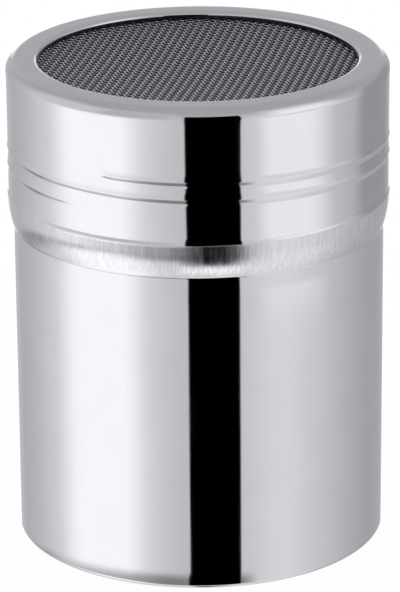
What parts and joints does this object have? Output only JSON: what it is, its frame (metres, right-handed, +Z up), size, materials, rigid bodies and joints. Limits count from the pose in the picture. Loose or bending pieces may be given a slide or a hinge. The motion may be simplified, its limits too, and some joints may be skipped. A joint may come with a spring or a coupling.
{
  "type": "spice shaker dispenser",
  "caption": "Cylindrical stainless steel shaker cup with a screw lid whose round opening is closed by woven wire cloth, for dusting dry spices or sugar.",
  "frame": {"origin": "centre of the ring face that the cup stands on", "axes": "+Z up along the cup's axis, towards the sieve; the start of the lid's thread lies to the left of -Y"},
  "size_m": [0.0702, 0.0702, 0.0907],
  "materials": {
    "cup": "mirror polished stainless steel, finely scored along the shoulder",
    "lid_shell": "mirror polished stainless steel",
    "sieve_mesh": "woven stainless steel wire",
    "sieve_retaining_ring": "plain stainless steel sheet"
  },
  "bodies": {
    "cup": {"cup": "cup"},
    "sieve_ring": {"sieve_retaining_ring": "sieve_retaining_ring"},
    "lid": {"lid_shell": "lid_shell", "sieve_mesh": "sieve_mesh"}
  },
  "joints": [
    {"name": "lid_rise", "type": "slide", "parent": "cup", "child": "sieve_ring", "axis": [0, 0, 1], "range_m": [0, 0.0064]},
    {"name": "lid_turn", "type": "hinge", "parent": "sieve_ring", "child": "lid", "pos_m": [0, 0, 0.075], "axis": [0, 0, -1], "range_deg": [0, 720]}
  ],
  "couplings": [
    {"joint": "lid_rise", "follows": "lid_turn", "m_per_rad": 0.0005093}
  ]
}
